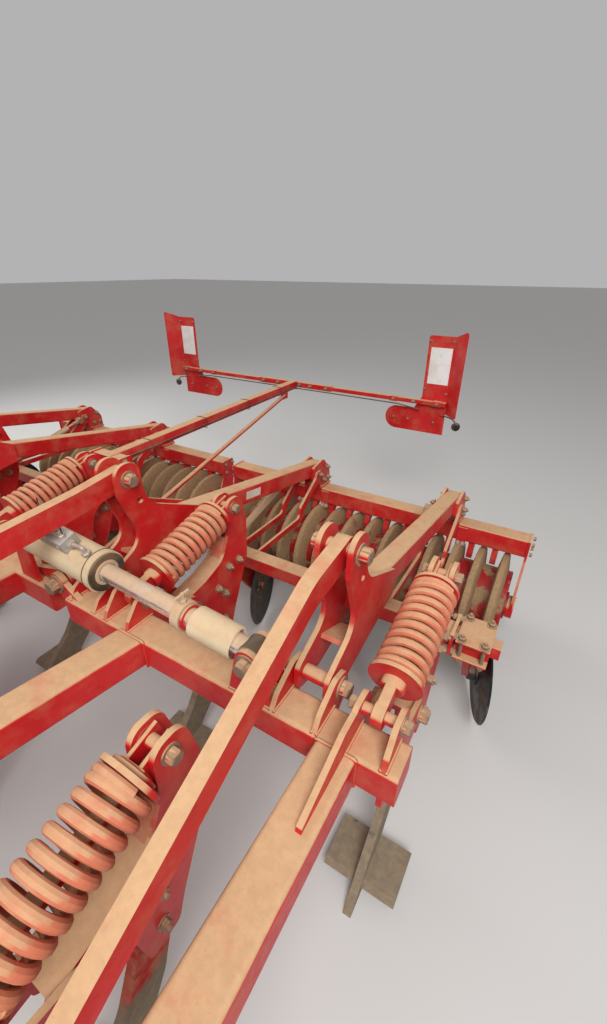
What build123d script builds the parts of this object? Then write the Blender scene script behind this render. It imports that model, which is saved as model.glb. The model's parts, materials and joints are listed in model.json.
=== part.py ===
from build123d import *
import math
import os

# A folding subsoiler of the three-point kind, 4 m wide: a centre section and two wings, nine sprung
# legs in two rows, levelling discs and a ring packer roller behind each wing, and a light board.
# X runs to the machine's right, Y to its rear and Z up. The origin is on the ground at the middle
# of the outline. Lengths are in millimetres.
os.makedirs("parts", exist_ok=True)

# Main frame
tube = 110
tube_corner = 14
frame_top = 870
row_gap = 870
hinge_x = 565
hinge_z = 905
wing_beam_end = 1850
outer_rail_x = 1690
inner_rail_rear_x = 960
inner_rail_front_x = 800
plate = 15
pin_clearance = 0.3

# Rows of legs: each one's distance from the middle. The wing's front leg stands outside its row's
# even pitch, clear of the inner rail.
rear_leg_x = (880, 1760)
front_leg_x = (1420,)
centre_rear_x = (0,)
centre_front_x = (-440, 440)

# Sprung leg, seen from the side: distances behind its beam's middle and heights above the ground
pivot = (243, 746)
spring_foot = (45, 930)
spring_head = (530, 1050)
lever_gap = 50
leg_thickness = 30
bracket_gap = 4
pivot_pin = 20
spring_pin = 16
spring_length = 315
spring_radius = 72
spring_wire = 24
spring_foot_bar = 95
share_half_width = 130

# Roller arms, with the towers that hold them
# Columns: tower x, and its top link's front pin: distance behind the front beam's middle, height
towers = ((700, 0, 1165), (1560, 120, 850))
tower_x = [x for x, _, _ in towers]
tower_pivot = (88, 905)
tower_pin = (200, 1265)
tower_pin_radius = 22
arm_width = 76
arm_height = 90
arm_start = (330, 1010)
arm_end = (1600, 790)
link_width = 40
link_height = 76
link_bend = 170
link_drop = 28

# Packer roller
roller_y = 1510
roller_radius = 280
drum_radius = 188
ring_pitch = 125
ring_count = 15
ring_root = 58
ring_crest = 30
roller_inner_x = 45
roller_outer_x = 1985
roller_beam_y = 1620
roller_beam_top = 665
roller_beam = 100
roller_axle = 30
roller_end_gap = 12

# Levelling discs
disc_beam_y = 850
disc_beam_z = 545
disc_beam = 80
disc_beam_inner_x = 600
disc_beam_outer_x = 1800
slide_beam = 60
slide_beam_end = 1985
slide_clamp = (1818, 1950)
slide_clamp_body = 104
slide_clamp_lip = 180
disc_x = (690, 1290, 1930)
disc_radius = 230
disc_thickness = 6
disc_toe = 18
disc_clear = 18
disc_back = 150

# Fold cylinder
cylinder_foot = (405, 1060)
cylinder_head = (1420, 995)
barrel_radius = 66
rod_radius = 30
barrel_length = 340
eye_radius = 42
eye_width = 60
eye_pin = 22
barrel_start = 52
gland = 26
bore_start = 60
rod_start = 390

# Headstock
head_half_width = 412.5
link_ball_width = 80
carrier_gap = 60
lower_pin_z = 500
lower_pin_reach = 330
lower_pin_radius = 18.35
top_pin_z = 1185
top_pin_reach = 190
top_hole_radius = 16
head_plate = 20
head_nose = 50

# Light board
light_arm_z = 1020
light_arm_tip_z = 1055
light_arm_start = 330
light_arm_reach = 2470
light_bar_half = 1240
light_bar_width = 30
board_thickness = 4

# The rear beam's place puts the origin halfway between the headstock's nose and the light boards
front_reach = row_gap + lower_pin_reach + head_nose
back_reach = light_arm_reach + light_bar_width / 2 + board_thickness
rear_y = (front_reach - back_reach) / 2
front_y = rear_y - row_gap
beam_z = frame_top - tube / 2


def finish(name, part):
    part.label = name
    export_step(part, f"parts/{name}.step")


def both_sides(name, part):
    finish(f"{name}_right", part)
    finish(f"{name}_left", part.mirror(Plane.YZ))


def run_plane(start, end):
    run = Vector(*end) - Vector(*start)
    side = Vector(1, 0, 0) if abs(run.X) < run.length / 2 else Vector(0, 1, 0)
    return Plane(origin=start, x_dir=side, z_dir=run)


def length_of(start, end):
    return (Vector(*end) - Vector(*start)).length


def side_plane(x, y):
    return Plane.YZ.offset(x).shift_origin((x, y, 0))


def bars(table):
    # Columns: start, end, width, height, corner radius
    for start, end, width, height, corner in table:
        with BuildSketch(run_plane(start, end)) as face:
            RectangleRounded(width, height, corner)
        extrude(face.sketch, amount=length_of(start, end))


def side_plates(xs, y, outline, thickness):
    # Outline columns: distance behind y, height, corner radius
    points = [(behind, height) for behind, height, _ in outline]
    corners = [corner for _, _, corner in outline]
    for x in xs:
        with BuildSketch(side_plane(x, y)) as face:
            with BuildLine():
                FilletPolyline(*points, radius=corners, close=True)
            make_face()
        extrude(face.sketch, amount=thickness / 2, both=True)


def rods(table):
    # Columns: start, end, radius
    for start, end, radius in table:
        with BuildSketch(run_plane(start, end)) as face:
            Circle(radius)
        extrude(face.sketch, amount=length_of(start, end))


def cross_pins(xs, y, place, radius, half_length, mode=Mode.ADD):
    for x in xs:
        with BuildSketch(side_plane(x, y)) as face:
            with Locations(place):
                Circle(radius)
        extrude(face.sketch, amount=half_length, both=True, mode=mode)


def cross_holes(xs, y, place, radius, half_length):
    cross_pins(xs, y, place, radius, half_length, Mode.SUBTRACT)


lever_x = lever_gap / 2 + plate / 2
ear_x = lever_gap / 2 + plate + bracket_gap + plate / 2
ear_span = ear_x + plate / 2

foot_bracket = [(-50, 763, 0), (52, 763, 0), (52, 850, 0), (250, 805, 40), (300, 746, 30),
                (250, 695, 40), (60, 690, 60), (-50, 715, 20)]
ear_seat = frame_top - 3
ear_outline = [(-52, ear_seat, 0), (-38, 900, 20), (10, 958, 30), (80, 958, 25), (104, 915, 20),
               (104, 840, 15), (52, 840, 0), (52, ear_seat, 0)]
fin_outline = [(-260, ear_seat, 0), (-255, 884, 5), (-60, 950, 30), (20, 950, 20), (20, ear_seat, 0)]


def leg_brackets(xs, y):
    # Ears that a beam carries for each leg: pivot plates below it and spring ears above it
    for x in xs:
        pair = (x - ear_x, x + ear_x)
        side_plates(pair, y, foot_bracket, plate)
        side_plates(pair, y, ear_outline, plate)
        cross_pins((x,), y, pivot, pivot_pin, ear_span + 18)
        cross_pins((x,), y, spring_foot, spring_pin, ear_span + 10)


def tower_ears(xs, y):
    for x in xs:
        gap = arm_width / 2 + plate + bracket_gap + plate / 2
        outline = [(-50, ear_seat, 0), (-22, 908, 20), (60, 954, 30), (125, 940, 30), (134, 870, 25),
                   (57, 795, 0), (50, 795, 0), (50, ear_seat, 0)]
        side_plates((x - gap, x + gap), y, outline, plate)
        cross_pins((x,), y, tower_pivot, tower_pin_radius, gap + 22)


def link_ears(y):
    # A post on the beam where the pin is over it, and a lug on the beam's rear face where it is behind
    gap = link_width / 2 + bracket_gap + plate / 2
    eye = 38
    face = tube / 2 - 4
    for x, pin_y, pin_z in towers:
        outline = [(-52, ear_seat, 0), (-eye, pin_z - 10, 60), (-eye, pin_z + eye, 30),
                   (eye, pin_z + eye, 30), (eye, pin_z - 10, 60), (52, ear_seat, 0)]
        if pin_y > face:
            outline = [(face, 765, 0), (face, 866, 0), (pin_y - 10, pin_z + eye, 20),
                       (pin_y + eye, pin_z + eye, 30), (pin_y + eye, pin_z - eye, 30),
                       (pin_y - 10, pin_z - eye, 20)]
        side_plates((x - gap, x + gap), y, outline, plate)
        cross_pins((x,), y, (pin_y, pin_z), tower_pin_radius, gap + 20)


eye_ear = eye_width / 2 + pin_clearance + plate / 2
hinge_gap = 6
hinge_plate = 22
hinge_pin = 24
hinge_ear_radius = 42


def lengthways_plates(ys, outline, thickness):
    for y in ys:
        with BuildSketch(Plane.XZ.offset(-y)) as face:
            with BuildLine():
                Polyline(*outline, close=True)
            make_face()
        extrude(face.sketch, amount=thickness / 2, both=True)


def lengthways_rounds(ys, place, radius, half_length, mode=Mode.ADD):
    for y in ys:
        with BuildSketch(Plane.XZ.offset(-y)) as face:
            with Locations(place):
                Circle(radius)
        extrude(face.sketch, amount=half_length, both=True, mode=mode)


# Wing frame: two beams and two rails, with the ears for legs, towers, links, hinge and cylinder
wing_hinge_y = (-hinge_plate - hinge_gap, hinge_plate + hinge_gap)
wing_beam_start = hinge_x + hinge_ear_radius + 8
with BuildPart() as wing_frame:
    bars([
        ((wing_beam_start, rear_y, beam_z), (wing_beam_end, rear_y, beam_z), tube, tube, tube_corner),
        ((wing_beam_start, front_y, beam_z), (wing_beam_end, front_y, beam_z), tube, tube, tube_corner),
        ((inner_rail_rear_x, rear_y, beam_z), (inner_rail_front_x, front_y, beam_z), tube, tube, tube_corner),
        ((outer_rail_x, rear_y, beam_z), (outer_rail_x, front_y, beam_z), tube, tube, tube_corner),
    ])
    leg_brackets(rear_leg_x, rear_y)
    leg_brackets(front_leg_x, front_y)
    side_plates((rear_leg_x[-1] - ear_x,), rear_y, fin_outline, plate)
    tower_ears(tower_x, rear_y)
    link_ears(front_y)
    for beam_y in (rear_y, front_y):
        ys = [beam_y + step for step in wing_hinge_y]
        ear = [(hinge_x, hinge_z - hinge_ear_radius), (hinge_x, hinge_z + hinge_ear_radius),
               (wing_beam_start + 60, frame_top - 4), (wing_beam_start + 60, 790), (wing_beam_start - 4, 790)]
        lengthways_plates(ys, ear, hinge_plate)
        lengthways_rounds(ys, (hinge_x, hinge_z), hinge_ear_radius, hinge_plate / 2)
        lengthways_rounds(ys, (hinge_x, hinge_z), hinge_pin + pin_clearance, hinge_plate, Mode.SUBTRACT)
    head_ys = [rear_y - eye_ear, rear_y + eye_ear]
    head_ear = [(cylinder_head[0] - 70, frame_top - 4), (cylinder_head[0] - 40, cylinder_head[1]),
                (cylinder_head[0] + 40, cylinder_head[1]), (cylinder_head[0] + 70, frame_top - 4)]
    lengthways_plates(head_ys, head_ear, plate)
    lengthways_rounds(head_ys, cylinder_head, 40, plate / 2)
    pin_ends = [rear_y - eye_ear - plate, rear_y + eye_ear + plate]
    lengthways_rounds(pin_ends, cylinder_head, eye_pin, 0.8 * plate)
both_sides("wing_frame", wing_frame.part)

# Centre frame
centre_beam_end = hinge_x - hinge_ear_radius - 8
centre_rail_x = 250
with BuildPart() as centre_frame:
    bars([
        ((-centre_beam_end, rear_y, beam_z), (centre_beam_end, rear_y, beam_z), tube, tube, tube_corner),
        ((-centre_beam_end, front_y, beam_z), (centre_beam_end, front_y, beam_z), tube, tube, tube_corner),
        ((-centre_rail_x, rear_y, beam_z), (-centre_rail_x, front_y, beam_z), tube, tube, tube_corner),
        ((centre_rail_x, rear_y, beam_z), (centre_rail_x, front_y, beam_z), tube, tube, tube_corner),
    ])
    leg_brackets(centre_rear_x, rear_y)
    leg_brackets(centre_front_x, front_y)
    for side in (-1, 1):
        for beam_y in (rear_y, front_y):
            eye = (side * hinge_x, hinge_z)
            ear = [(eye[0], hinge_z - hinge_ear_radius), (eye[0], hinge_z + hinge_ear_radius),
                   (side * (centre_beam_end - 120), frame_top + 30),
                   (side * (centre_beam_end - 120), 790), (side * (centre_beam_end + 4), 790)]
            lengthways_plates((beam_y,), ear, hinge_plate)
            lengthways_rounds((beam_y,), eye, hinge_ear_radius, hinge_plate / 2)
            lengthways_rounds((beam_y,), eye, hinge_pin, 2 * hinge_plate + hinge_gap + 18)
        foot_x, foot_z = cylinder_foot
        foot_ys = [rear_y - eye_ear, rear_y + eye_ear]
        foot_ear = [(side * (foot_x - 60), frame_top - 4), (side * (foot_x - 34), foot_z),
                    (side * (foot_x + 34), foot_z), (side * (foot_x + 45), frame_top - 4)]
        lengthways_plates(foot_ys, foot_ear, plate)
        lengthways_rounds(foot_ys, (side * foot_x, foot_z), 34, plate / 2)
        lengthways_rounds((rear_y,), (side * foot_x, foot_z), eye_pin, eye_width / 2 + 2 * plate)
finish("centre_frame", centre_frame.part)

# Headstock: a pair of plates on each side, whose lower pin stands out so that a link's ball goes on
# from outside, and a pair in the middle with a hole for the top link's own pin
outer_carrier_x = head_half_width - link_ball_width / 2 - head_plate / 2
pin_start_x = outer_carrier_x - carrier_gap - head_plate
pin_end_x = head_half_width + link_ball_width / 2 + 20
lower_carrier = [(-tube / 2, frame_top - 20, 0), (-tube / 2, 770, 0),
                 (-lower_pin_reach + 60, lower_pin_z - 55, 60),
                 (-lower_pin_reach - head_nose, lower_pin_z - 55, 45),
                 (-lower_pin_reach - head_nose, lower_pin_z + 60, 45), (-150, frame_top - 20, 60)]
top_carrier = [(-tube / 2, 780, 0), (-tube / 2 - 60, 780, 40), (-top_pin_reach - 50, top_pin_z - 60, 60),
               (-top_pin_reach - 50, top_pin_z + 50, 40), (-top_pin_reach + 60, top_pin_z + 50, 40),
               (-tube / 2, frame_top - 20, 60)]
top_carrier_x = link_ball_width / 2 + head_plate / 2
with BuildPart() as headstock:
    for side in (-1, 1):
        carriers = (side * (outer_carrier_x - carrier_gap), side * outer_carrier_x)
        side_plates(carriers, front_y, lower_carrier, head_plate)
        cross_pins((side * (pin_start_x + pin_end_x) / 2,), front_y, (-lower_pin_reach, lower_pin_z),
                   lower_pin_radius, (pin_end_x - pin_start_x) / 2)
    side_plates((-top_carrier_x, top_carrier_x), front_y, top_carrier, head_plate)
    cross_holes((0,), front_y, (-top_pin_reach, top_pin_z), top_hole_radius, top_carrier_x + head_plate)
finish("headstock", headstock.part)

# Sprung legs: lever plates, leg with its share, spring and the spring's bar, rod and yoke
lever_outline = [(190, 700, 30), (190, 790, 40), (330, 812, 60), (440, 850, 80), (486, 950, 60),
                 (490, 1092, 39), (575, 1092, 40), (604, 970, 80), (594, 789, 60), (485, 560, 40),
                 (455, 480, 20), (365, 480, 20), (345, 640, 50), (300, 700, 30)]
lever_web = [(200, 775, 0), (332, 796, 0), (449, 838, 0), (492, 922, 0), (478, 926, 0), (437, 850, 0),
             (330, 811, 0), (200, 790, 0)]
clamp_outline = [(350, 790, 0), (455, 770, 0), (465, 640, 60), (455, 520, 0), (360, 520, 0),
                 (346, 640, 0)]
leg_outline = [(350, 790, 15), (455, 770, 15), (470, 640, 60), (455, 480, 60), (395, 300, 100),
               (300, 140, 60), (215, 60, 20), (60, 0, 0), (-40, 0, 0), (60, 90, 40), (180, 200, 80),
               (280, 340, 100), (350, 500, 60)]
wing_foot = [(40, 40, 0), (220, 40, 0), (220, 56, 0), (60, 56, 0)]


def lever_set(places):
    # Columns: leg x, beam y
    for x, y in places:
        side_plates((x - lever_x, x + lever_x), y, lever_outline, plate)
        side_plates((x,), y, lever_web, lever_gap + plate)
        cross_pins((x,), y, spring_head, spring_pin, ear_span)
        cross_holes((x,), y, pivot, pivot_pin + pin_clearance, ear_span)


def leg_set(places):
    for x, y in places:
        side_plates((x,), y, leg_outline, leg_thickness)
        side_plates((x,), y, clamp_outline, lever_gap)
        side_plates((x,), y, wing_foot, 2 * share_half_width)


def spring_run(x, y, near, far):
    # A start and an end on the spring's axis, so far from the pin at its foot
    run = Vector(0, spring_head[0] - spring_foot[0], spring_head[1] - spring_foot[1]).normalized()
    foot = Vector(x, y + spring_foot[0], spring_foot[1])
    return tuple(foot + run * near), tuple(foot + run * far)


spring_span = math.dist(spring_foot, spring_head)
spring_top = spring_foot_bar + 12 + spring_length


def spring_mount_set(places):
    for x, y in places:
        bars([
            (*spring_run(x, y, 0, spring_foot_bar), 30, 60, 6),
            (*spring_run(x, y, spring_top + 12, spring_span - 50), 64, 50, 6),
        ])
        for near, far, radius in ((spring_foot_bar, spring_foot_bar + 12, spring_radius + 4),
                                  (spring_foot_bar, spring_top + 12, 20),
                                  (spring_top, spring_top + 12, spring_radius)):
            start, end = spring_run(x, y, near, far)
            with BuildSketch(run_plane(start, end)) as face:
                Circle(radius)
            extrude(face.sketch, amount=length_of(start, end))
        cross_pins((x,), y, spring_foot, 32, 15)
        for side in (-1, 1):
            bars([(*spring_run(x + side * 19, y, spring_span - 56, spring_span + 30), 10, 50, 4)])
        cross_holes((x,), y, spring_foot, spring_pin + pin_clearance, ear_span)
        cross_holes((x,), y, spring_head, spring_pin + pin_clearance, ear_span)


def spring_set(places):
    for x, y in places:
        start, end = spring_run(x, y, spring_foot_bar + 12, spring_top)
        with BuildSketch(run_plane(start, end)) as face:
            Circle(spring_radius)
            Circle(spring_radius - spring_wire, mode=Mode.SUBTRACT)
        extrude(face.sketch, amount=length_of(start, end))


wing_places = [(x, rear_y) for x in rear_leg_x] + [(x, front_y) for x in front_leg_x]
centre_places = [(x, rear_y) for x in centre_rear_x] + [(x, front_y) for x in centre_front_x]
leg_nodes = (("levers", lever_set), ("legs", leg_set), ("spring_mounts", spring_mount_set),
             ("springs", spring_set))
for name, make in leg_nodes:
    with BuildPart() as wing_set:
        make(wing_places)
    both_sides(f"wing_{name}", wing_set.part)
    with BuildPart() as centre_set:
        make(centre_places)
    finish(f"centre_{name}", centre_set.part)

# Roller arms: a curved tower of two plates with an arm between them, and a saddle on the roller beam
tower_outline = [(42, 868, 30), (50, 945, 30), (215, 1020, 75), (148, 1215, 40), (150, 1322, 48),
                 (250, 1322, 48), (256, 1150, 110), (520, 1020, 15), (520, 922, 20), (300, 885, 60),
                 (120, 850, 30)]
tower_gap = arm_width / 2 + plate / 2
roller_beam_z = roller_beam_top - roller_beam / 2
saddle = 12
saddle_height = roller_beam_top + saddle
rear_plate = [(1480, 835, 20), (1600, 855, 40), (1682, 760, 60), (1682, saddle_height, 0),
              (1558, saddle_height, 0), (1520, 740, 60), (1470, 745, 15)]
tower_brace = [(170, 960, 0), (300, 900, 0), (306, 912, 0), (176, 972, 0)]
spare_hole = (232, 1175)
with BuildPart() as roller_arms:
    for x in tower_x:
        side_plates((x - tower_gap, x + tower_gap), rear_y, tower_outline, plate)
        bars([((x, rear_y + arm_start[0], arm_start[1]), (x, rear_y + arm_end[0], arm_end[1]),
               arm_width, arm_height, 10)])
        side_plates((x,), rear_y, tower_brace, arm_width)
        side_plates((x - tower_gap, x + tower_gap), rear_y, rear_plate, plate)
        bars([((x, rear_y + roller_beam_y - 62, roller_beam_top + saddle / 2),
               (x, rear_y + roller_beam_y + 62, roller_beam_top + saddle / 2), arm_width + 50, saddle, 2)])
        cross_pins((x,), rear_y, tower_pin, tower_pin_radius, tower_gap + plate + 20)
        cross_holes((x,), rear_y, tower_pivot, tower_pin_radius + pin_clearance, tower_gap + plate)
        cross_holes((x,), rear_y, spare_hole, 13, tower_gap + plate)
both_sides("roller_arms", roller_arms.part)

# Top links between the towers and the front beam
with BuildPart() as top_links:
    for x, pin_y, pin_z in towers:
        knee = (tower_pin[0] - link_bend, tower_pin[1] - link_drop)
        half = link_height / 2
        front = pin_y - row_gap
        back = tower_pin[0] + half
        outline = [(back, tower_pin[1] - half, 30), (back, tower_pin[1] + half, 30),
                   (knee[0], knee[1] + half, 200), (front - half, pin_z + half, 30),
                   (front - half, pin_z - half, 30), (knee[0], knee[1] - half, 200)]
        side_plates((x,), rear_y, outline, link_width)
        cross_holes((x,), rear_y, tower_pin, tower_pin_radius + pin_clearance, link_width)
        cross_holes((x,), rear_y, (front, pin_z), tower_pin_radius + pin_clearance, link_width)
both_sides("top_links", top_links.part)

# Roller frame: the beam with its end plates, bearings and scrapers
end_plate = [(roller_beam_y - 55, roller_beam_top + 4, 8), (roller_beam_y + 55, roller_beam_top + 4, 8),
             (roller_beam_y + 55, 540, 80), (roller_y + 60, 225, 50), (roller_y - 60, 225, 50),
             (roller_y - 60, 330, 60), (roller_beam_y - 55, 560, 80)]
scraper = [(roller_beam_y - 30, 570, 0), (roller_beam_y + 25, 570, 0), (roller_y + 100, 510, 40),
           (roller_y + 84, 470, 5), (roller_y + 60, 470, 5), (roller_y + 60, 505, 30)]
roller_middle_x = (roller_inner_x + roller_outer_x) / 2
with BuildPart() as roller_frame:
    bars([((roller_inner_x, rear_y + roller_beam_y, roller_beam_z),
           (roller_outer_x, rear_y + roller_beam_y, roller_beam_z), roller_beam, roller_beam, 10)])
    side_plates((roller_inner_x + 6, roller_outer_x - 6), rear_y, end_plate, 12)
    bearing_xs = (roller_inner_x + 12, roller_outer_x - 12)
    cross_pins(bearing_xs, rear_y, (roller_y, roller_radius), 60, 18)
    cross_holes(bearing_xs, rear_y, (roller_y, roller_radius), roller_axle + 0.5, 40)
    for step in range(ring_count + 1):
        x = roller_middle_x + (step - ring_count / 2) * ring_pitch
        if roller_inner_x + 60 < x < roller_outer_x - 60:
            side_plates((x,), rear_y, scraper, 30)
both_sides("roller_frame", roller_frame.part)

# Packer roller: drum and rings
with BuildPart() as roller:
    middle = roller_middle_x
    half = (roller_outer_x - roller_inner_x) / 2
    drum_half = half - 30 - roller_end_gap
    cross_pins((middle,), rear_y, (roller_y, roller_radius), drum_radius, drum_half)
    cross_pins((middle,), rear_y, (roller_y, roller_radius), roller_axle, half - 4)
    for step in range(ring_count):
        x = middle + (step - (ring_count - 1) / 2) * ring_pitch
        axle = (x, rear_y + roller_y, roller_radius)
        with BuildSketch(Plane.XY.offset(roller_radius).shift_origin(axle)) as face:
            with BuildLine():
                Polyline((-ring_root / 2, drum_radius - 2), (ring_root / 2, drum_radius - 2),
                         (ring_crest / 2, roller_radius), (-ring_crest / 2, roller_radius), close=True)
            make_face()
        revolve(face.sketch, axis=Axis(axle, (1, 0, 0)))
both_sides("roller", roller.part)

# Disc beam with its sliding end, hangers and disc arms
disc_y = disc_beam_y + disc_back
disc_z = disc_radius + disc_clear
toe = math.radians(disc_toe)
hub_reach = 60
stub_radius = 18


def disc_axis():
    # Unit vector along a disc's axle, pointing to the machine's outside
    return Vector(math.cos(toe), math.sin(toe), 0)


disc_arm = [(disc_beam_y - 36, disc_beam_z, 0), (disc_beam_y + 36, disc_beam_z, 0),
            (disc_beam_y + 70, 420, 90), (disc_y + 40, 330, 60), (disc_y + 40, disc_z - 32, 30),
            (disc_y - 34, disc_z - 32, 30), (disc_beam_y + 10, 370, 90), (disc_beam_y - 36, 470, 60)]
slide_flange = [(disc_beam_y - 75, disc_beam_z - 60, 12), (disc_beam_y - 75, disc_beam_z + 60, 12),
                (disc_beam_y + 75, disc_beam_z + 60, 12), (disc_beam_y + 75, disc_beam_z - 60, 12)]
hanger = [(1500, 800, 0), (1540, 800, 0), (1540, 740, 20), (1345, 620, 40), (1312, disc_beam_z + 8, 30),
          (disc_beam_y, disc_beam_z + 8, 0), (disc_beam_y, disc_beam_z + 42, 0), (1284, disc_beam_z + 42, 30),
          (1304, 650, 40), (1480, 765, 30)]
adjuster_foot = (disc_beam_y + 10, disc_beam_z + 75)
adjuster_head = (1450, 775)
adjuster_lug = [(disc_beam_y - 38, disc_beam_z + 36, 0), (disc_beam_y - 20, disc_beam_z + 105, 25),
                (disc_beam_y + 36, disc_beam_z + 105, 25), (disc_beam_y + 38, disc_beam_z + 36, 0)]
with BuildPart() as disc_frame:
    beam_y = rear_y + disc_beam_y
    bars([
        ((disc_beam_inner_x, beam_y, disc_beam_z), (disc_beam_outer_x, beam_y, disc_beam_z),
         disc_beam, disc_beam, 10),
        ((disc_beam_outer_x, beam_y, disc_beam_z), (slide_beam_end, beam_y, disc_beam_z),
         slide_beam, slide_beam, 6),
        ((slide_clamp[0], beam_y, disc_beam_z), (slide_clamp[1], beam_y, disc_beam_z),
         slide_clamp_body, slide_beam + 20, 6),
    ])
    for height in (disc_beam_z - slide_beam / 2 - 12, disc_beam_z + slide_beam / 2 + 12):
        bars([((slide_clamp[0], beam_y, height), (slide_clamp[1], beam_y, height), slide_clamp_lip, 10, 4)])
    side_plates((disc_beam_outer_x,), rear_y, slide_flange, 14)
    for x in disc_x:
        side_plates((x - hub_reach,), rear_y, disc_arm, 30)
        centre = Vector(x, rear_y + disc_y, disc_z)
        with BuildSketch(Plane(origin=centre, x_dir=(0, 0, 1), z_dir=-disc_axis())) as face:
            Circle(stub_radius)
        extrude(face.sketch, amount=hub_reach)
    for x in tower_x:
        for side in (-1, 1):
            side_plates((x + side * (tower_gap + plate),), rear_y, hanger, plate)
        adjuster_x = x - tower_gap - 3 * plate
        side_plates((adjuster_x - 18, adjuster_x + 18), rear_y, adjuster_lug, 8)
        rods([((adjuster_x, rear_y + adjuster_foot[0], adjuster_foot[1]),
               (adjuster_x, rear_y + adjuster_head[0], adjuster_head[1]), 13)])
        cross_pins((adjuster_x,), rear_y, adjuster_foot, 10, 30)
        cross_pins((adjuster_x + 15,), rear_y, adjuster_head, 10, 35)
both_sides("disc_frame", disc_frame.part)

for number, x in enumerate(disc_x, 1):
    centre = Vector(x, rear_y + disc_y, disc_z)
    with BuildPart() as disc:
        with BuildSketch(Plane(origin=centre, x_dir=(0, 0, 1), z_dir=disc_axis())) as face:
            Circle(disc_radius)
        extrude(face.sketch, amount=disc_thickness / 2, both=True)
        with BuildSketch(Plane(origin=centre, x_dir=(0, 0, 1), z_dir=-disc_axis())) as face:
            Circle(45)
        extrude(face.sketch, amount=hub_reach - 34)
        with BuildSketch(Plane(origin=centre, x_dir=(0, 0, 1), z_dir=-disc_axis())) as face:
            Circle(stub_radius + 0.5)
        extrude(face.sketch, amount=hub_reach, both=True, mode=Mode.SUBTRACT)
    both_sides(f"disc_{number}", disc.part)

# Fold cylinder: barrel on the centre frame, rod on the wing
foot = Vector(cylinder_foot[0], rear_y, cylinder_foot[1])
head = Vector(cylinder_head[0], rear_y, cylinder_head[1])
stretch = (head - foot).normalized()


def along(distance):
    return foot + stretch * distance


def cylinder_plane(distance):
    return Plane(origin=along(distance), x_dir=(0, 1, 0), z_dir=stretch)


barrel_end = barrel_start + barrel_length + gland
with BuildPart() as barrel:
    for start, length, radius in ((barrel_start, barrel_length, barrel_radius),
                                  (barrel_end - gland, gland, barrel_radius + 4)):
        with BuildSketch(cylinder_plane(start)) as face:
            Circle(radius)
        extrude(face.sketch, amount=length)
    with BuildSketch(cylinder_plane(0)) as face:
        Rectangle(eye_width, 60)
    extrude(face.sketch, amount=60)
    lengthways_rounds((rear_y,), cylinder_foot, eye_radius - 6, eye_width / 2)
    with BuildSketch(cylinder_plane(bore_start)) as face:
        Circle(rod_radius + 0.5)
    extrude(face.sketch, amount=barrel_end - bore_start, mode=Mode.SUBTRACT)
    lengthways_rounds((rear_y,), cylinder_foot, eye_pin + pin_clearance, eye_width, Mode.SUBTRACT)
both_sides("cylinder_barrel", barrel.part)

cylinder_span = (head - foot).length
with BuildPart() as rod:
    with BuildSketch(cylinder_plane(rod_start)) as face:
        Circle(rod_radius)
    extrude(face.sketch, amount=cylinder_span - rod_start - 30)
    for start, length, radius in ((cylinder_span - 275, 30, 44), (cylinder_span - 210, 150, 44)):
        with BuildSketch(cylinder_plane(start)) as face:
            Circle(radius)
        extrude(face.sketch, amount=length)
    lengthways_rounds((rear_y,), cylinder_head, eye_radius, eye_width / 2)
both_sides("cylinder_rod", rod.part)

# Light board: arm with its base plates and strut, cross bar and two boards
light_base_x = 110
light_base_end = 630
arm_tilt_gap = 0.6
light_base = [(tube / 2, 770, 0), (tube / 2, frame_top - 20, 0), (light_base_end, light_arm_z + 32, 30),
              (light_base_end + 75, light_arm_z + 32, 15), (light_base_end + 75, light_arm_z - 40, 15),
              (430, 850, 120), (345, 560, 25), (275, 560, 25), (200, 730, 100)]
strut_foot = (310, 590)
strut_head = (2280, 1000)
strut_lug_x = 20
strut_lug = [(2240, 975, 10), (2240, 1040, 0), (2320, 1040, 0), (2320, 975, 10)]
arm_end = light_arm_reach - light_bar_width / 2 - arm_tilt_gap
with BuildPart() as light_arm:
    bars([
        ((0, rear_y + light_base_end, light_arm_z), (0, rear_y + arm_end, light_arm_tip_z), 60, 60, 6),
        ((-light_base_x - 6, rear_y + light_base_end + 40, light_arm_z),
         (light_base_x + 6, rear_y + light_base_end + 40, light_arm_z), 60, 50, 4),
    ])
    side_plates((-light_base_x, light_base_x), rear_y, light_base, 12)
    rods([((light_base_x, rear_y + strut_foot[0], strut_foot[1]),
           (strut_lug_x, rear_y + strut_head[0], strut_head[1]), 14)])
    side_plates((strut_lug_x,), rear_y, strut_lug, 12)
finish("light_arm", light_arm.part)

with BuildPart() as light_bar:
    bars([((-light_bar_half, rear_y + light_arm_reach, light_arm_tip_z),
           (light_bar_half, rear_y + light_arm_reach, light_arm_tip_z), light_bar_width, light_bar_width, 3)])
finish("light_bar", light_bar.part)

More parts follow.
